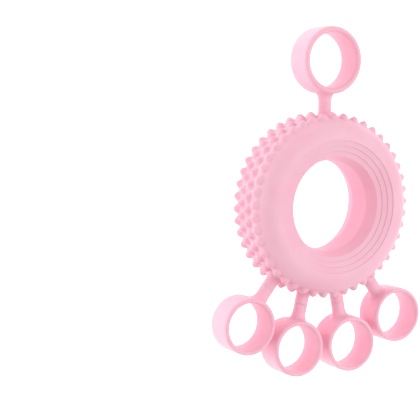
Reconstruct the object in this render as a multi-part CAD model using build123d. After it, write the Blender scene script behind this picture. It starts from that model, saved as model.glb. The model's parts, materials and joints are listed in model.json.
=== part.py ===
from build123d import *
from math import cos, hypot, radians, sin
import os

# Hand grip ring with five finger loops, moulded in soft silicone. Millimetres.
#
# The ring lies flat on its back: its axis is +Z, its front face looks up and the origin is
# the middle of its hole. The thumb's loop is on +Y and the four fingers' loops fan out round
# -Y. The real moulding is in one piece. It is divided here where it flexes: the ring into four
# arcs, so that it can be squeezed, and each loop's stalk into a root, a stretching neck and
# the loop itself.

# ---- Grip ring: section ----
HOLE_RADIUS = 19.1
HOLE_LAND = 5.0            # half the length of the straight wall inside the hole
MOUTH_RADIUS = 20.9        # front and back edges of the hole
MOUTH_HEIGHT = 10.7
TERRACES = 3               # shallow steps from the mouth up to the flat crown
TERRACE_PITCH = 2.3
TERRACE_RISER = 0.35
CROWN_HEIGHT = 13.0        # half the ring's thickness
SHOULDER_RADIUS = 7.5
SHOULDER_CENTRE = 29.6     # where the flat crown ends and the shoulder starts
BAND_LEAN = 12.0           # degrees: slope of the outer band where it meets the shoulder

# ---- Grip ring: nubs on the outer band ----
NUBS_PER_ROW = 45
NUB_ROWS = 4
NUB_ROW_PITCH = 4.65       # along the surface
NUB_BASE_RADIUS = 2.1
NUB_TIP_RADIUS = 0.9
NUB_ROUNDING = 0.7
NUB_HEIGHT = 2.2
NUB_SEAT = 0.5             # stub below the surface, trimmed to the band's curve
BARE_HALF_WIDTH = 5.8      # oval round each neck's root where no nub is centred
BARE_HALF_DEPTH = 4.9

# ---- Grip ring: the four arcs that it is divided into (degrees from +X) ----
ARCS = {
    "thumb_side": (45, 135),
    "left_side": (135, 220),
    "finger_side": (220, 320),
    "right_side": (320, 405),
}

# ---- Loops and their necks ----
LOOP_HALF_WIDTH = 6.5
FINGER_LOOP = {"outer": 12.0, "bore": 9.7, "reach": 61.5}
THUMB_LOOP = {"outer": 14.2, "bore": 11.3, "reach": 60.8}
NECK_HALF_WIDTH = 2.9      # across the neck, in the plane of the ring
NECK_HALF_DEPTH = 2.5      # along Z
ROOT_END = 40.0            # distance from the origin where the root hands over to the neck
FLARE_LENGTH = 3.2         # from the neck's end to the loop's outer surface
FLARE_OVERLAP = 1.2        # how far the flare runs on into the loop's wall
RIM_FLAT = 0.1             # left between the two roundings of a loop's rim

FINGERS = ("index", "middle", "ring_finger", "little")
FAN_PITCH = 24.8           # degrees between neighbouring fingers; the fan is centred on -Y

# (distance from the start, half width, half depth) at each station of the two flares
ROOT_STATIONS = [(35.5, 4.6, 3.4), (38.2, 3.4, 2.75), (ROOT_END, NECK_HALF_WIDTH, NECK_HALF_DEPTH)]
FLARE_STATIONS = [
    (-FLARE_LENGTH, NECK_HALF_WIDTH, NECK_HALF_DEPTH),
    (-1.6, 3.15, 2.65),
    (-0.2, 3.9, 3.15),
    (FLARE_OVERLAP, 5.2, 4.2),
]

# ---- Derived ----
SHOULDER_HEIGHT = CROWN_HEIGHT - SHOULDER_RADIUS
BAND_EDGE_RADIUS = SHOULDER_CENTRE + SHOULDER_RADIUS * cos(radians(BAND_LEAN))
BAND_EDGE_HEIGHT = SHOULDER_HEIGHT + SHOULDER_RADIUS * sin(radians(BAND_LEAN))
BAND_RADIUS = BAND_EDGE_HEIGHT / sin(radians(BAND_LEAN))
BAND_CENTRE = BAND_EDGE_RADIUS - BAND_RADIUS * cos(radians(BAND_LEAN))
TERRACE_CLIMB = (CROWN_HEIGHT - MOUTH_HEIGHT) / TERRACES


# ---- Grip ring ----
def terrace_points():
    """Corners of the shallow steps, from the hole's mouth to the flat crown."""
    points = [(MOUTH_RADIUS, MOUTH_HEIGHT)]
    for step in range(1, TERRACES + 1):
        radius = MOUTH_RADIUS + step * TERRACE_PITCH
        height = MOUTH_HEIGHT + step * TERRACE_CLIMB
        points += [(radius, height - TERRACE_RISER), (radius, height)]
    return points


def ring_section():
    """Closed outline of the ring in the X-Z plane, the same above and below the middle."""
    upper = Polyline(
        (HOLE_RADIUS, HOLE_LAND), *terrace_points(), (SHOULDER_CENTRE, CROWN_HEIGHT)
    ) + CenterArc(
        (SHOULDER_CENTRE, SHOULDER_HEIGHT), SHOULDER_RADIUS, BAND_LEAN, 90 - BAND_LEAN
    )
    hole_wall = Line((HOLE_RADIUS, -HOLE_LAND), (HOLE_RADIUS, HOLE_LAND))
    band = CenterArc((BAND_CENTRE, 0), BAND_RADIUS, -BAND_LEAN, 2 * BAND_LEAN)
    outline = hole_wall + upper + band + mirror(upper, about=Plane.XZ)
    return Plane.XZ * make_face(outline)


def ring_arc(start, end):
    """The part of the ring from start to end, in degrees from +X."""
    section = Rot(0, 0, start) * ring_section()
    return revolve(section, Axis.Z, end - start)


# ---- Nubs ----
def nub():
    """One blunt cone standing on the X-Y plane, with the stub that seats it in the band."""
    cone = Pos(0, 0, NUB_HEIGHT / 2) * Cone(NUB_BASE_RADIUS, NUB_TIP_RADIUS, NUB_HEIGHT)
    cone = fillet(cone.edges().sort_by(Axis.Z)[-1], NUB_ROUNDING)
    return cone + Pos(0, 0, -NUB_SEAT / 2) * Cylinder(NUB_BASE_RADIUS, NUB_SEAT)


def on_band(distance):
    """Radius, height and lean of the surface at this distance along it from the middle."""
    side = 1 if distance >= 0 else -1
    band_length = BAND_RADIUS * radians(BAND_LEAN)
    if abs(distance) <= band_length:
        lean = abs(distance) / BAND_RADIUS
        radius = BAND_CENTRE + BAND_RADIUS * cos(lean)
        height = BAND_RADIUS * sin(lean)
    else:
        lean = radians(BAND_LEAN) + (abs(distance) - band_length) / SHOULDER_RADIUS
        radius = SHOULDER_CENTRE + SHOULDER_RADIUS * cos(lean)
        height = SHOULDER_HEIGHT + SHOULDER_RADIUS * sin(lean)
    return radius, side * height, side * lean


def clear_of_roots(x, y, z):
    """Whether a nub at this place stands outside the oval kept free round every root."""
    for bearing in digit_bearings().values():
        along = x * cos(radians(bearing)) + y * sin(radians(bearing))
        across = x * sin(radians(bearing)) - y * cos(radians(bearing))
        if along > 0 and hypot(across / BARE_HALF_WIDTH, z / BARE_HALF_DEPTH) < 1:
            return False
    return True


def nub_places():
    """(angle in degrees, location) of each nub, from the front row, which has a nub in line
    with the thumb's neck; every second row is turned half a pitch."""
    pitch = 360 / NUBS_PER_ROW
    places = []
    for row in range(NUB_ROWS):
        radius, z, lean = on_band(((NUB_ROWS - 1) / 2 - row) * NUB_ROW_PITCH)
        for column in range(NUBS_PER_ROW):
            angle = (digit_bearings()["thumb"] + (column + row % 2 / 2) * pitch) % 360
            outwards = Vector(cos(radians(angle)), sin(radians(angle)), 0)
            foot = outwards * radius + Vector(0, 0, z)
            axis = outwards * cos(lean) + Vector(0, 0, sin(lean))
            if clear_of_roots(foot.X, foot.Y, foot.Z):
                places.append((angle, Plane(foot, z_dir=axis).location))
    return places


def arc_nubs(start, end, seat):
    """The nubs on one arc, trimmed to stand on the seat: the ring and the necks' roots."""
    master = nub()
    seated = []
    for angle, place in nub_places():
        if start <= angle < end or start <= angle + 360 < end:
            seated.append(place * master - seat)
    return seated


# ---- Loops and necks, drawn along +X and then turned to their bearing ----
def digit_bearings():
    """Degrees from +X of each loop, by digit."""
    bearings = {"thumb": 90.0}
    for place, digit in enumerate(FINGERS):
        bearings[digit] = (place - (len(FINGERS) - 1) / 2) * FAN_PITCH - 90.0
    return bearings


def stalk(stations, start=0.0):
    """A smooth stalk along +X through elliptical stations."""
    ellipses = []
    for distance, half_width, half_depth in stations:
        plane = Plane((start + distance, 0, 0), x_dir=(0, 1, 0), z_dir=(1, 0, 0))
        ellipses.append(plane * Ellipse(half_width, half_depth))
    return loft(ellipses)


def root(ring):
    """The flared foot of a neck, from the ring's surface outwards."""
    return stalk(ROOT_STATIONS) - ring


def neck(size):
    """The plain stretch between the root and the loop's flare."""
    flare_start = size["reach"] - size["outer"] - FLARE_LENGTH
    plane = Plane((ROOT_END, 0, 0), x_dir=(0, 1, 0), z_dir=(1, 0, 0))
    section = plane * Ellipse(NECK_HALF_WIDTH, NECK_HALF_DEPTH)
    return extrude(section, flare_start - ROOT_END)


def loop(size):
    """A finger loop with rounded rims, and the flare that joins it to its neck."""
    wall = size["outer"] - size["bore"]
    section = Pos(size["bore"] + wall / 2, 0) * RectangleRounded(
        wall, 2 * LOOP_HALF_WIDTH, (wall - RIM_FLAT) / 2
    )
    band = Pos(size["reach"], 0, 0) * revolve(Plane.XZ * section, Axis.Z)
    flare = stalk(FLARE_STATIONS, size["reach"] - size["outer"])
    return band + flare


# ---- Write one STEP file for each named piece ----
def write(name, pieces):
    """Write the piece, or the group of like pieces, under its name."""
    solids = []
    for piece in pieces:
        solids += piece.solids()
    shape = solids[0] if len(solids) == 1 else Compound(solids)
    shape.label = name
    export_step(shape, f"parts/{name}.step")
    print(f"{name}: {len(solids)} solids, {shape.volume:.0f} mm3")


def main():
    os.makedirs("parts", exist_ok=True)
    ring = ring_arc(0, 360)
    seat = ring
    for digit, bearing in digit_bearings().items():
        turned = Rot(0, 0, bearing)
        size = THUMB_LOOP if digit == "thumb" else FINGER_LOOP
        foot = turned * root(ring)
        seat += foot
        write(f"{digit}_root", [foot])
        write(f"{digit}_neck", [turned * neck(size)])
        write(f"{digit}_loop", [turned * loop(size)])
    for side, (start, end) in ARCS.items():
        write(f"grip_{side}", [ring_arc(start, end)])
        write(f"nubs_{side}", arc_nubs(start, end, seat))


main()
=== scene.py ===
import json
import math

import bpy
import numpy as np
from bpy.props import FloatProperty, FloatVectorProperty, IntProperty, PointerProperty
from mathutils import Matrix, Vector


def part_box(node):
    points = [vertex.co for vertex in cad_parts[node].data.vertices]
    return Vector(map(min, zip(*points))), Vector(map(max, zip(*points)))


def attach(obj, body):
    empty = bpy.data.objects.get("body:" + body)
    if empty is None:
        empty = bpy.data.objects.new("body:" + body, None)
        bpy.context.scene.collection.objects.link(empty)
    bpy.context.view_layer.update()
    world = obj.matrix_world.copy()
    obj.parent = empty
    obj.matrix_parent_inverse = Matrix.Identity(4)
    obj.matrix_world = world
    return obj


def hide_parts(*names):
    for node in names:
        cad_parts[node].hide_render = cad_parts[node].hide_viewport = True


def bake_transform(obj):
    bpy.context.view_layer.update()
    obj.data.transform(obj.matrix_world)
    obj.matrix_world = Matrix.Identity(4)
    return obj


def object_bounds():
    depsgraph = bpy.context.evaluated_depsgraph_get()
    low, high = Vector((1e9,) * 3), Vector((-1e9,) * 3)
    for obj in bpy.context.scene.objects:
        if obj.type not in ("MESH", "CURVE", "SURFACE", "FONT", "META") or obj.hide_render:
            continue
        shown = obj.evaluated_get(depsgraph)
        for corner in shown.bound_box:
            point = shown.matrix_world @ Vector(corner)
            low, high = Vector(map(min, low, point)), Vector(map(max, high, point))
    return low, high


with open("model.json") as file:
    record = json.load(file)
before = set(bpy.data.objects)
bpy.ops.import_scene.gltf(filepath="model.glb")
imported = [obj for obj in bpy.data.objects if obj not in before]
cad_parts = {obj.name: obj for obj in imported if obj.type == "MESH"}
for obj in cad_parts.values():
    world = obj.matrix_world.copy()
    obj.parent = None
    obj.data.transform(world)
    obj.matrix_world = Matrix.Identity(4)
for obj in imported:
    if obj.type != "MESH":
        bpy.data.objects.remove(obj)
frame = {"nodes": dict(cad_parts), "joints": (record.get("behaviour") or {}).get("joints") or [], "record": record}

bl_info = {
    "name": "Finger loop grip ring",
    "version": (1, 0, 0),
    "blender": (4, 5, 0),
    "location": "3D View > Sidebar > Grip ring",
    "description": "Builds a soft silicone grip ring with finger loops round its CAD frame",
    "category": "Add Mesh",
}

MM = 0.001
CAD_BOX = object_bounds()
MOUNTS = {mount["name"]: mount for mount in frame["record"]["mounts"]}
JOINTS = {joint["name"]: joint for joint in frame["joints"]}
HOLE = MOUNTS["centre_hole"]["dims"]
DIGITS = ("thumb", "index", "middle", "ring_finger", "little")
WHITE = (1.0, 1.0, 1.0, 1.0)
LINT_COLOUR = (0.98, 0.93, 0.92, 1.0)
CLOUD_SCALE = 55.0    # noise features to the metre, coarse to fine
FLOW_SCALE = 160.0
LINT_SCALE = 260.0
PORE_SCALE = 700.0
GRAIN_SCALE = 2600.0
TURNING_PITCH = 0.45 * MM
SILICONE_IOR = 1.41
STEP_ROUNDING = 0.35 * MM
BAND_SPACING = 0.4 * MM    # mesh rows where nubs stand
NECK_SIDES = 48
NECK_STATIONS = 14
LOOP_SIDES = 120
FOOT_TUCK = 0.05 * MM    # how far a foot's edge lies under the surface that it joins
FOOT_DEPTH = 1.2 * MM
FLARE_TUCK = 0.04 * MM
FLARE_DEPTH = 1.0 * MM
KEY_PLACE = (-0.80, 0.25, 0.10)
KEY_COLOUR = (1.0, 0.98, 0.965)
KEY_SIZE = 0.3
FILL_PLACE = (0.50, 0.0, 0.80)
FILL_SIZE = 0.7
RING_NODES = [node for node in frame["nodes"] if node.startswith(("grip_", "nubs_"))]


def length(name, description, millimetres):
    """A length property whose default is given in millimetres."""
    return FloatProperty(
        name=name, description=description, default=millimetres * MM, unit="LENGTH", precision=5
    )


# ---------------------------------------------------------------- sizes and colours
class RingSettings(bpy.types.PropertyGroup):
    hole_radius: length("Hole radius", "Radius of the hole's straight wall", HOLE["r_mm"])
    hole_land: length("Hole land", "Half the length of that wall", HOLE["length_mm"] / 2)
    mouth_radius: length("Mouth radius", "Edge between the hole and the face", 20.9)
    mouth_height: length("Mouth height", "Height of that edge above the middle", 10.7)
    terrace_pitch: length("Step pitch", "Width of each shallow step round the hole", 2.3)
    terrace_riser: length("Step riser", "Height of each shallow step's edge", 0.35)
    terraces: IntProperty(name="Steps", description="Shallow steps round the hole", default=3)
    shoulder_centre: length("Shoulder centre", "Radius where the flat crown ends", 29.6)
    shoulder_radius: length("Shoulder radius", "Rounding from the face to the band", 7.5)
    band_lean: FloatProperty(
        name="Band lean",
        description="Slope of the outer band where it meets the shoulder",
        default=math.radians(12.0),
        subtype="ANGLE",
    )
    squeeze_reach: length("Squeeze reach", "How far each way from the middle a squeeze spreads", 33.0)


class NubSettings(bpy.types.PropertyGroup):
    per_row: IntProperty(name="Nubs in a row", description="Nubs in one turn", default=45)
    rows: IntProperty(name="Rows", description="Staggered rows of nubs", default=4)
    row_pitch: length("Row pitch", "Distance between rows, along the surface", 4.65)
    radius: length("Foot radius", "Radius at which a nub runs out into the band", 2.3)
    height: length("Height", "How far a nub stands out of the band", 2.05)
    columns: IntProperty(name="Columns", description="Mesh columns to each nub", default=12)
    bare_half_width: length("Bare half width", "Half width of the oval kept free at a neck", 5.8)
    bare_half_depth: length("Bare half depth", "Half depth of that oval", 4.9)


class LoopSettings(bpy.types.PropertyGroup):
    neck_half_width: length("Neck half width", "Half width of a neck, along the ring", 2.9)
    neck_half_depth: length("Neck half depth", "Half thickness of a neck, along the axis", 2.5)
    root_half_width: length("Root half width", "Half width of a neck's foot on the band", 4.3)
    root_half_depth: length("Root half depth", "Half thickness of that foot", 3.5)
    root_height: length("Root height", "Distance from the centre where the foot ends", 39.6)
    flare_half_width: length("Flare half width", "Half width of the flare on the loop", 5.4)
    flare_half_depth: length("Flare half depth", "Half thickness of the flare on the loop", 4.4)
    flare_length: length("Flare length", "From the flare's start to the loop's surface", 3.2)
    barrel: length("Barrel", "How far a loop's outside draws in at its rims", 0.12)
    draft: length("Draft", "How far a loop's bore opens at its rims", 0.18)
    bend_zone: length("Bend zone", "Length of neck over which a bend is spread", 3.2)


class SiliconeSettings(bpy.types.PropertyGroup):
    colour: FloatVectorProperty(
        name="Colour", description="Pink of the silicone", default=(0.915, 0.495, 0.61),
        subtype="COLOR", min=0.0, max=1.0,
    )
    pale: FloatVectorProperty(
        name="Pale colour", description="Pink where it is handled and bloomed",
        default=(0.925, 0.535, 0.645), subtype="COLOR", min=0.0, max=1.0,
    )
    roughness: FloatProperty(
        name="Roughness", description="Mean roughness of the moulded surface", default=0.5,
        min=0.0, max=1.0,
    )
    translucency: FloatProperty(
        name="Translucency", description="Share of light scattered under the surface",
        default=0.35, min=0.0, max=1.0,
    )
    scatter: length("Scatter depth", "How deep light travels in the silicone", 1.5)


class StageSettings(bpy.types.PropertyGroup):
    floor_colour: FloatVectorProperty(
        name="Floor", description="Colour of the floor", default=(0.93, 0.93, 0.925),
        subtype="COLOR", min=0.0, max=1.0,
    )
    floor_glow: FloatProperty(
        name="Floor glow", description="Light that comes up through the table", default=0.75
    )
    floor_size: length("Floor size", "Width of the floor", 6000.0)
    room_light: FloatProperty(
        name="Room light", description="Brightness of the room all round", default=0.62, min=0.0
    )
    key_power: FloatProperty(name="Key", description="Watts of the low left light", default=1.3)
    fill_power: FloatProperty(name="Fill", description="Watts of the front light", default=4.4)
    distance: length("Camera distance", "From the camera to the point it looks at", 496.8)
    aim_x: length("Aim X", "X of the point the camera looks at", -53.9)
    aim_y: length("Aim Y", "Y of that point", -0.8)
    swing: FloatProperty(
        name="Swing", description="Camera's angle off the ring's axis, towards -X",
        default=math.radians(28.4), subtype="ANGLE",
    )
    rise: FloatProperty(
        name="Rise", description="Camera's angle towards the thumb's loop",
        default=math.radians(5.56), subtype="ANGLE",
    )
    roll: FloatProperty(
        name="Roll", description="Turn of the camera about its own axis",
        default=math.radians(1.12), subtype="ANGLE",
    )
    lens: FloatProperty(name="Lens", description="Focal length in mm", default=105.5)


# ---------------------------------------------------------------- shader maths
class Wire:
    """A socket that can be used in arithmetic: each operator adds the Math node that does it."""

    def __init__(self, shader, socket):
        self.shader = shader
        self.socket = socket

    def __add__(self, other):
        return self.shader.math("ADD", self, other)

    __radd__ = __add__

    def __mul__(self, other):
        return self.shader.math("MULTIPLY", self, other)

    __rmul__ = __mul__

    def __sub__(self, other):
        return self.shader.math("SUBTRACT", self, other)

    def __rsub__(self, other):
        return self.shader.math("SUBTRACT", other, self)


class Shader:
    """A material's node tree, written as calls and expressions."""

    def __init__(self, name):
        self.material = bpy.data.materials.new(name)
        self.material.use_nodes = True
        self.tree = self.material.node_tree
        self.tree.nodes.clear()

    def node(self, kind, settings=None, outlet=0, **sockets):
        """Adds a node: its settings first, then values or wires by socket name or number."""
        made = self.tree.nodes.new(kind)
        for name, value in (settings or {}).items():
            setattr(made, name, value)
        for name, value in sockets.items():
            key = int(name[1:]) if name[1:].isdigit() else name.replace("_", " ")
            if isinstance(value, Wire):
                self.tree.links.new(value.socket, made.inputs[key])
            else:
                made.inputs[key].default_value = value
        return Wire(self, made.outputs[outlet]) if len(made.outputs) else made

    def math(self, operation, first, second=0.0):
        return self.node("ShaderNodeMath", {"operation": operation}, _0=first, _1=second)

    def ramp(self, value, low, high):
        """0 below low, 1 above high, smooth between."""
        settings = {"interpolation_type": "SMOOTHSTEP"}
        return self.node(
            "ShaderNodeMapRange", settings, Value=value, From_Min=low, From_Max=high
        )

    def mix(self, factor, first, second):
        """A mix of two colours: first where factor is 0, second where it is 1."""
        return self.node(
            "ShaderNodeMix", {"data_type": "RGBA"}, outlet=2, _0=factor, _6=first, _7=second
        )

    def noise(self, place, scale, detail=2.0):
        """Noise of about `scale` features to the metre."""
        return self.node("ShaderNodeTexNoise", Vector=place, Scale=scale, Detail=detail)


def opaque(colour):
    """A colour property as four numbers."""
    return (*colour, 1.0)


def silicone(name, settings, turned=False):
    """Soft moulded silicone: cloudy pink, a fine matt grain, a few specks of lint, and light
    that spreads under the surface. A turned mould leaves fine rings round the Z axis."""
    shader = Shader(name)
    place = shader.node("ShaderNodeTexCoord", outlet=3)
    cloud = shader.noise(place, CLOUD_SCALE, 3.0)
    grain = shader.noise(place, GRAIN_SCALE, 2.0)
    pores = shader.noise(place, PORE_SCALE, 4.0)
    flow = shader.noise(place, FLOW_SCALE, 2.0)
    colour = shader.mix(
        shader.ramp(cloud, 0.35, 0.70), opaque(settings.colour), opaque(settings.pale)
    )
    height = grain * 0.5 + pores * 0.35 + flow * 0.6
    roughness = settings.roughness + (pores - 0.5) * 0.16 + (cloud - 0.5) * 0.14
    if turned:
        across = shader.node(
            "ShaderNodeVectorMath", {"operation": "MULTIPLY"}, _0=place, _1=(1.0, 1.0, 0.0)
        )
        radius = shader.node("ShaderNodeVectorMath", {"operation": "LENGTH"}, outlet=1, _0=across)
        marks = shader.math("SINE", radius * (2 * math.pi / TURNING_PITCH) + flow * 2.0)
        height = height + marks * 0.16
    lint = shader.node("ShaderNodeTexVoronoi", outlet=0, Vector=place, Scale=LINT_SCALE)
    speck = 1.0 - shader.ramp(lint, 0.030, 0.055)
    colour = shader.mix(speck * 0.35, colour, LINT_COLOUR)
    bump = shader.node("ShaderNodeBump", Strength=0.35, Distance=0.06 * MM, Height=height)
    surface = shader.node(
        "ShaderNodeBsdfPrincipled",
        Base_Color=colour,
        Roughness=roughness,
        IOR=SILICONE_IOR,
        Subsurface_Weight=settings.translucency,
        Subsurface_Radius=(1.0, 0.42, 0.36),
        Subsurface_Scale=settings.scatter,
        Sheen_Weight=0.12,
        Sheen_Roughness=0.45,
        Normal=bump,
    )
    shader.node("ShaderNodeOutputMaterial", Surface=surface)
    return shader.material


# ---------------------------------------------------------------- surfaces
def grid_faces(rows, columns, closed_rows):
    """Corner numbers of the quads of a grid whose columns join end to end."""
    row = np.arange(rows if closed_rows else rows - 1)[:, None]
    column = np.arange(columns)[None, :]
    next_row = (row + 1) % rows
    next_column = (column + 1) % columns
    corners = (
        row * columns + column,
        next_row * columns + column,
        next_row * columns + next_column,
        row * columns + next_column,
    )
    return np.stack(np.broadcast_arrays(*corners), -1).reshape(-1, 4)


def fan_faces(ring, pole):
    """Corner numbers of the triangles between a closed ring of points and its pole."""
    return np.stack([ring, np.roll(ring, -1), np.full_like(ring, pole)], -1)


def enclosed_volume(points, triangles):
    """Signed volume inside a closed mesh: a sixth of the sum of each face's triple product."""
    a, b, c = (points[triangles[:, corner]] for corner in range(3))
    return np.einsum("ij,ij->", a, np.cross(b, c)) / 6


def make_piece(name, points, quads, triangles, material):
    """A smooth closed mesh at the origin. Faces are turned outwards by the volume's sign."""
    as_triangles = np.vstack([quads[:, [0, 1, 2]], quads[:, [0, 2, 3]], triangles])
    if enclosed_volume(points, as_triangles) < 0:
        quads = quads[:, ::-1]
        triangles = triangles[:, ::-1]
    mesh = bpy.data.meshes.new(name)
    mesh.from_pydata(points.tolist(), [], quads.tolist() + triangles.tolist())
    mesh.shade_smooth()
    mesh.materials.append(material)
    piece = bpy.data.objects.new(name, mesh)
    bpy.context.scene.collection.objects.link(piece)
    return piece


def closed_band(name, grid, material):
    """A piece from a grid of points that closes on itself both ways."""
    rows, columns = grid.shape[:2]
    no_triangles = np.empty((0, 3), int)
    quads = grid_faces(rows, columns, closed_rows=True)
    return make_piece(name, grid.reshape(-1, 3), quads, no_triangles, material)


def capped_tube(name, grid, material):
    """A piece from a grid of rings along a path, its two ends closed by fans."""
    rows, columns = grid.shape[:2]
    points = np.vstack([grid.reshape(-1, 3), grid[0].mean(0), grid[-1].mean(0)])
    ring = np.arange(columns)
    first = fan_faces(ring, rows * columns)
    last = fan_faces(ring[::-1] + (rows - 1) * columns, rows * columns + 1)
    quads = grid_faces(rows, columns, closed_rows=False)
    return make_piece(name, points, quads, np.vstack([first, last]), material)


def turned(profile, columns):
    """Turns a profile of (radius, height) pairs about the Z axis, as a grid of points."""
    angle = np.linspace(0, 2 * np.pi, columns, endpoint=False)
    radius, height = profile[:, :1], profile[:, 1:]
    parts = (radius * np.cos(angle), radius * np.sin(angle), height + 0 * angle)
    return np.stack(parts, -1)


def bezier(start, corner, end, share):
    """Quadratic curve from start to end that leaves and arrives in line with corner."""
    return (1 - share) ** 2 * start + 2 * share * (1 - share) * corner + share**2 * end


def rounded_path(corners, reach, samples=5):
    """An open path through corner points, each rounded by a curve that starts and ends
    `reach` away from it, or half the shorter side where that is less."""
    corners = np.asarray(corners, float)
    share = np.linspace(0, 1, samples)[:, None]
    path = [corners[:1]]
    for before, corner, after in zip(corners, corners[1:], corners[2:]):
        sides = [before - corner, after - corner]
        lengths = [np.hypot(*side) for side in sides]
        cut = min(reach, *(0.45 * one for one in lengths))
        start, end = (corner + side * cut / one for side, one in zip(sides, lengths))
        path.append(bezier(start, corner, end, share))
    path.append(corners[-1:])
    return np.vstack(path)


# ---------------------------------------------------------------- the ring's outside
class Band:
    """The ring's outer surface: a shallow arc across the band, then the shoulder's arc.
    A place on it is a distance along the section from the middle and an angle round Z."""

    def __init__(self, ring):
        self.lean = ring.band_lean
        self.shoulder = ring.shoulder_radius
        self.centre = ring.shoulder_centre
        self.rise = CAD_BOX[1].z - self.shoulder
        edge_height = self.rise + self.shoulder * math.sin(self.lean)
        edge_radius = self.centre + self.shoulder * math.cos(self.lean)
        self.radius = edge_height / math.sin(self.lean)
        self.middle = edge_radius - self.radius * math.cos(self.lean)
        self.half_length = self.radius * self.lean

    def section(self, distance):
        """Radius, height and slope at a distance: slope grows as distance over the arc's
        radius; radius is the arc's centre plus its radius times the slope's cosine."""
        side = np.sign(distance)
        away = np.abs(distance)
        on_band = away <= self.half_length
        beyond = (away - self.half_length) / self.shoulder
        slope = np.where(on_band, away / self.radius, self.lean + beyond)
        arc = np.where(on_band, self.radius, self.shoulder)
        centre = np.where(on_band, self.middle, self.centre)
        rise = np.where(on_band, 0.0, self.rise)
        return centre + arc * np.cos(slope), side * (rise + arc * np.sin(slope)), side * slope

    def point(self, distance, angle, proud=0.0):
        """Points that stand `proud` of the surface along its normal."""
        radius, height, slope = self.section(distance)
        radius = radius + proud * np.cos(slope)
        height = height + proud * np.sin(slope)
        return np.stack([radius * np.cos(angle), radius * np.sin(angle), height + 0 * angle], -1)

    def normal(self, distance, angle):
        """Outward unit normals."""
        slope = self.section(distance)[2] + 0 * angle
        flat = np.cos(slope)
        return np.stack([flat * np.cos(angle), flat * np.sin(angle), np.sin(slope)], -1)


def face_profile(ring):
    """The section from the middle of the hole's wall to the edge of the flat crown: straight
    wall, funnel to the mouth, and shallow steps, each a gentle slope and a short riser."""
    corners = [
        (ring.hole_radius, 0.0),
        (ring.hole_radius, ring.hole_land),
        (ring.mouth_radius, ring.mouth_height),
    ]
    climb = (CAD_BOX[1].z - ring.mouth_height) / ring.terraces
    for step in range(1, ring.terraces + 1):
        radius = ring.mouth_radius + step * ring.terrace_pitch
        height = ring.mouth_height + step * climb
        corners += [(radius, height - ring.terrace_riser), (radius, height)]
    corners.append((ring.shoulder_centre, CAD_BOX[1].z))
    return rounded_path(corners, reach=STEP_ROUNDING, samples=4)


def band_distances(band, nubs):
    """Distances along the section from the front edge of the shoulder to the back edge: close
    together where nubs stand, wider beyond them."""
    edge = band.half_length + band.shoulder * (math.pi / 2 - band.lean)
    reach = (nubs.rows - 1) / 2 * nubs.row_pitch + nubs.radius
    middle = np.linspace(reach, -reach, 2 * round(reach / BAND_SPACING) + 1)
    outer = np.linspace(edge, reach, 10)[1:-1]
    return np.concatenate([outer, middle, -outer[::-1]])


def nub_height(nubs, band, distance, angle):
    """How far the surface stands out: for each row, the nearest nub at a share q of its foot's
    radius adds the height times one minus q squared, to the power 1.25. Rows are a pitch apart,
    every second row is turned half a step, and an oval at each neck is left bare."""
    step = 2 * np.pi / nubs.per_row
    radius = band.section(distance)[0]
    height = np.zeros(np.broadcast_shapes(distance.shape, angle.shape))
    for row in range(nubs.rows):
        place = ((nubs.rows - 1) / 2 - row) * nubs.row_pitch
        first = math.pi / 2 + row % 2 / 2 * step
        column = np.round((angle - first) / step)
        centre = first + column * step
        share = np.hypot(distance - place, radius * (angle - centre)) / nubs.radius
        bump = nubs.height * (1 - np.minimum(share, 1) ** 2) ** 1.25
        height += bump * ~is_bare(nubs, band, np.float64(place), centre)
    return height


def is_bare(nubs, band, distance, angle):
    """Whether a nub would stand in the oval that is kept free round a neck."""
    foot = band.point(distance, angle)
    bare = np.zeros(foot.shape[:-1], bool)
    for digit in DIGITS:
        along, across = digit_axes(digit)
        oval = np.hypot(foot @ across / nubs.bare_half_width, foot[..., 2] / nubs.bare_half_depth)
        bare |= (foot @ along > 0) & (oval < 1)
    return bare


def ring_grid(ring, nubs):
    """The whole ring as one closed surface: the front face, the band with its nubs, and the
    back face, which mirrors the front."""
    band = Band(ring)
    columns = nubs.per_row * nubs.columns
    face = face_profile(ring)
    distance = band_distances(band, nubs)[:, None]
    angle = np.linspace(0, 2 * np.pi, columns, endpoint=False)[None]
    middle = band.point(distance, angle, nub_height(nubs, band, distance, angle))
    back = face[::-1] * (1, -1)
    return np.vstack([turned(face, columns), middle, turned(back[:-1], columns)])


# ---------------------------------------------------------------- loops and necks
def digit_axes(digit):
    """Unit vectors out along a digit's neck, and across it in the plane of the ring."""
    along = np.array(MOUNTS[f"{digit}_bore"]["pos_m"])
    along = along / np.linalg.norm(along)
    return along, np.array([-along[1], along[0], 0.0])


def to_frame(points, digit):
    """Points drawn with the neck along +X, turned to the digit's own bearing."""
    along, across = digit_axes(digit)
    return points @ np.stack([along, across, (0.0, 0.0, 1.0)])


class Loop:
    """One digit's loop, in sizes read from the frame."""

    def __init__(self, digit):
        low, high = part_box(f"{digit}_loop")
        mount = MOUNTS[f"{digit}_bore"]
        self.reach = np.linalg.norm(mount["pos_m"])
        self.bore = mount["dims"]["r_mm"] * MM
        self.outer = (high.x - low.x) / 2
        self.half_width = high.z
        self.near_side = self.reach - self.outer
        self.hinge = np.linalg.norm(JOINTS[f"{digit}_bend"]["pos_m"])


def neck_ring(loops, distance, turn):
    """The neck's oval at a distance from the ring's centre, or one oval for each distance."""
    width = loops.neck_half_width * np.cos(turn)
    depth = loops.neck_half_depth * np.sin(turn)
    return np.stack(np.broadcast_arrays(distance, width, depth), -1)


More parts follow.
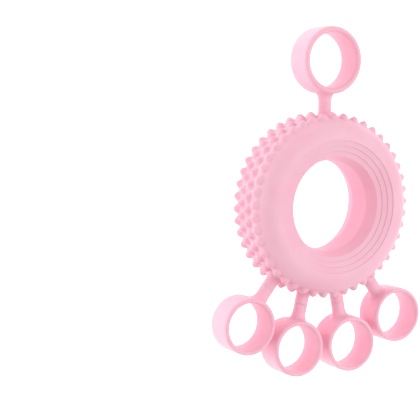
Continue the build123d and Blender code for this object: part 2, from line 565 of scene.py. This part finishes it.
def flare(neck_end, foot, normal, samples):
    """Curves from the neck's end ring to a ring of foot points on another surface. Each leaves
    in line with the neck and lands in that surface's tangent plane: its corner is where the
    neck's line meets the plane."""
    along = np.array([1.0, 0.0, 0.0])
    travel = np.einsum("ij,ij->i", foot - neck_end, normal) / (normal @ along)
    corner = neck_end + travel[:, None] * along
    share = np.linspace(0, 1, samples)[:, None, None]
    return bezier(neck_end, corner, foot, share)


def root_grid(loops, band, split):
    """A neck's foot on the band, and the neck as far as the split."""
    turn = np.linspace(0, 2 * np.pi, NECK_SIDES, endpoint=False)
    place = loops.root_half_depth * np.sin(turn)
    angle = loops.root_half_width * np.cos(turn) / band.section(place)[0]
    foot = band.point(place, angle, -FOOT_TUCK)
    neck_end = neck_ring(loops, loops.root_height, turn)
    base = flare(neck_end, foot, band.normal(place, angle), 10)[::-1]
    sunk = band.point(place, angle, -FOOT_DEPTH)[None]
    distance = np.linspace(loops.root_height, split, NECK_STATIONS)[1:, None]
    return np.vstack([sunk, base, neck_ring(loops, distance, turn)])


def neck_grid(loops, loop, split):
    """The neck from the split to the loop, with the flare that runs out on the loop."""
    turn = np.linspace(0, 2 * np.pi, NECK_SIDES, endpoint=False)
    start = loop.near_side - loops.flare_length
    distance = np.linspace(split, start, NECK_STATIONS)[:-1, None]
    angle = loops.flare_half_width * np.cos(turn) / loop.outer
    depth = loops.flare_half_depth * np.sin(turn)
    normal = np.stack([-np.cos(angle), np.sin(angle), 0 * angle], -1)
    centre = np.array([loop.reach, 0.0, 0.0])
    lift = np.stack([0 * depth, 0 * depth, depth], -1)
    drawn_in = loops.barrel * (depth / loop.half_width) ** 2
    foot = centre + lift + normal * (loop.outer - drawn_in - FLARE_TUCK)[:, None]
    base = flare(neck_ring(loops, start, turn), foot, normal, 16)
    sunk = (foot - normal * FLARE_DEPTH)[None]
    return np.vstack([neck_ring(loops, distance, turn), base, sunk])


def loop_profile(loops, loop):
    """A loop's closed section: a slightly barrelled outside, a bore that opens slightly towards
    both rims, and half-round rims. Both sides follow the square of the height."""
    outer_rim = loop.outer - loops.barrel
    inner_rim = loop.bore + loops.draft
    edge = (outer_rim - inner_rim) / 2
    straight = loop.half_width - edge
    height = np.linspace(-straight, straight, 14)
    bulge = (height / straight) ** 2
    outside = np.stack([loop.outer - loops.barrel * bulge, height], -1)
    inside = np.stack([loop.bore + loops.draft * bulge, height], -1)[::-1]
    turn = np.linspace(0, np.pi, 11)[1:-1]
    rim = np.stack([np.cos(turn), np.sin(turn)], -1) * edge + (inner_rim + edge, straight)
    return np.vstack([outside, rim, inside, (rim * (1, -1))[::-1]])


# ---------------------------------------------------------------- operators
class GRIP_OT_ring(bpy.types.Operator):
    """Build the ring: one smooth moulding with its nubs"""

    bl_idname = "grip.ring"
    bl_label = "Ring and nubs"

    def execute(self, context):
        scene = context.scene
        ring = scene.grip_ring
        material = silicone("ring_silicone", scene.grip_silicone, turned=True)
        piece = closed_band("ring_body", ring_grid(ring, scene.grip_nubs), material)
        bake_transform(piece)
        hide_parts(*RING_NODES)
        return {"FINISHED"}


class GRIP_OT_necks(bpy.types.Operator):
    """Build each neck in two lengths, split half a bend zone past its hinge: a foot on the ring and a length that
    runs out to its loop
    """

    bl_idname = "grip.necks"
    bl_label = "Necks"

    def execute(self, context):
        scene = context.scene
        loops = scene.grip_loops
        band = Band(scene.grip_ring)
        material = silicone("neck_silicone", scene.grip_silicone)
        for digit in DIGITS:
            loop = Loop(digit)
            split = loop.hinge + loops.bend_zone / 2
            grid = to_frame(root_grid(loops, band, split), digit)
            root = capped_tube(f"{digit}_neck_foot", grid, material)
            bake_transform(root)
            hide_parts(f"{digit}_root")
            grid = to_frame(neck_grid(loops, loop, split), digit)
            neck = capped_tube(f"{digit}_neck_stretch", grid, material)
            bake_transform(neck)
            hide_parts(f"{digit}_neck")
        return {"FINISHED"}


class GRIP_OT_loops(bpy.types.Operator):
    """Build the finger loops: wide bands with rounded rims"""

    bl_idname = "grip.loops"
    bl_label = "Loops"

    def execute(self, context):
        scene = context.scene
        material = silicone("loop_silicone", scene.grip_silicone)
        for digit in DIGITS:
            loop = Loop(digit)
            grid = turned(loop_profile(scene.grip_loops, loop), columns=LOOP_SIDES)
            grid = to_frame(grid + (loop.reach, 0.0, 0.0), digit)
            piece = closed_band(f"{digit}_loop_band", grid, material)
            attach(piece, f"{digit}_loop")
            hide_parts(f"{digit}_loop")
        return {"FINISHED"}


class GRIP_OT_stage(bpy.types.Operator):
    """Lay the pale floor, hang the soft lights and set up the camera"""

    bl_idname = "grip.stage"
    bl_label = "Stage"

    def execute(self, context):
        settings = context.scene.grip_stage
        lay_floor(settings)
        light_room(settings)
        set_camera(settings)
        return {"FINISHED"}


def lay_floor(settings):
    """A plain pale sheet on which the ring lies."""
    half = settings.floor_size / 2
    level = CAD_BOX[0].z
    corners = [
        (-half, -half, level),
        (half, -half, level),
        (half, half, level),
        (-half, half, level),
    ]
    mesh = bpy.data.meshes.new("floor")
    mesh.from_pydata(corners, [], [(0, 1, 2, 3)])
    shader = Shader("floor_paper")
    place = shader.node("ShaderNodeTexCoord", outlet=3)
    tooth = shader.noise(place, 900.0, 3.0)
    bump = shader.node("ShaderNodeBump", Strength=0.1, Distance=0.05 * MM, Height=tooth)
    paper = shader.node(
        "ShaderNodeBsdfPrincipled",
        Base_Color=opaque(settings.floor_colour),
        Roughness=0.8,
        Emission_Color=WHITE,
        Emission_Strength=settings.floor_glow,
        Normal=bump,
    )
    shader.node("ShaderNodeOutputMaterial", Surface=paper)
    mesh.materials.append(shader.material)
    floor = bpy.data.objects.new("floor", mesh)
    bpy.context.scene.collection.objects.link(floor)


def area_light(name, place, size, power, colour=(1.0, 1.0, 1.0)):
    """A square soft light that faces the middle of the ring. Place and size in metres."""
    lamp = bpy.data.lights.new(name, "AREA")
    lamp.size = size
    lamp.energy = power
    lamp.color = colour
    holder = bpy.data.objects.new(name, lamp)
    holder.location = place
    holder.rotation_euler = Vector(place).to_track_quat("Z", "Y").to_euler()
    bpy.context.scene.collection.objects.link(holder)


def light_room(settings):
    """An even pale room, a low light from the left and a stronger, softer one at the front."""
    world = bpy.data.worlds.new("room")
    world.use_nodes = True
    background = world.node_tree.nodes["Background"]
    background.inputs["Color"].default_value = WHITE
    background.inputs["Strength"].default_value = settings.room_light
    bpy.context.scene.world = world
    area_light("key", KEY_PLACE, KEY_SIZE, settings.key_power, KEY_COLOUR)
    area_light("fill", FILL_PLACE, FILL_SIZE, settings.fill_power)


def set_camera(settings):
    """The camera looks at the aim point from the swing and rise, turned by the roll."""
    aim = np.array([settings.aim_x, settings.aim_y, 0.0])
    back = np.array([
        -math.sin(settings.swing) * math.cos(settings.rise),
        math.sin(settings.rise),
        math.cos(settings.swing) * math.cos(settings.rise),
    ])
    right = np.cross((0.0, 1.0, 0.0), back)
    right /= np.linalg.norm(right)
    up = np.cross(back, right)
    cosine, sine = math.cos(settings.roll), math.sin(settings.roll)
    matrix = np.eye(4)
    matrix[:3, 0] = cosine * right + sine * up
    matrix[:3, 1] = cosine * up - sine * right
    matrix[:3, 2] = back
    matrix[:3, 3] = aim + back * settings.distance
    camera = bpy.data.objects.new("camera", bpy.data.cameras.new("camera"))
    camera.data.lens = settings.lens
    camera.data.clip_start = 10 * MM
    camera.matrix_world = Matrix(matrix.tolist())
    bpy.context.scene.collection.objects.link(camera)
    bpy.context.scene.camera = camera


OPERATORS = (GRIP_OT_ring, GRIP_OT_necks, GRIP_OT_loops, GRIP_OT_stage)
SETTINGS = {
    "grip_ring": RingSettings,
    "grip_nubs": NubSettings,
    "grip_loops": LoopSettings,
    "grip_silicone": SiliconeSettings,
    "grip_stage": StageSettings,
}


class GRIP_PT_panel(bpy.types.Panel):
    """Lists the sizes, the colours and the pieces to build"""

    bl_idname = "GRIP_PT_panel"
    bl_label = "Grip ring"
    bl_space_type = "VIEW_3D"
    bl_region_type = "UI"
    bl_category = "Grip ring"

    def draw(self, context):
        for name, group in SETTINGS.items():
            box = self.layout.box()
            box.label(text=group.__name__)
            for key in group.__annotations__:
                box.prop(getattr(context.scene, name), key)
        for operator in OPERATORS:
            self.layout.operator(operator.bl_idname)


def register():
    for group in SETTINGS.values():
        bpy.utils.register_class(group)
    for cls in (*OPERATORS, GRIP_PT_panel):
        bpy.utils.register_class(cls)
    for name, group in SETTINGS.items():
        setattr(bpy.types.Scene, name, PointerProperty(type=group))


def unregister():
    for name in SETTINGS:
        delattr(bpy.types.Scene, name)
    for cls in reversed((*SETTINGS.values(), *OPERATORS, GRIP_PT_panel)):
        bpy.utils.unregister_class(cls)


def main():
    register()
    bpy.context.scene.view_settings.view_transform = "Standard"
    bpy.ops.grip.stage()
    bpy.ops.grip.ring()
    bpy.ops.grip.necks()
    bpy.ops.grip.loops()


if __name__ == "__main__":
    main()
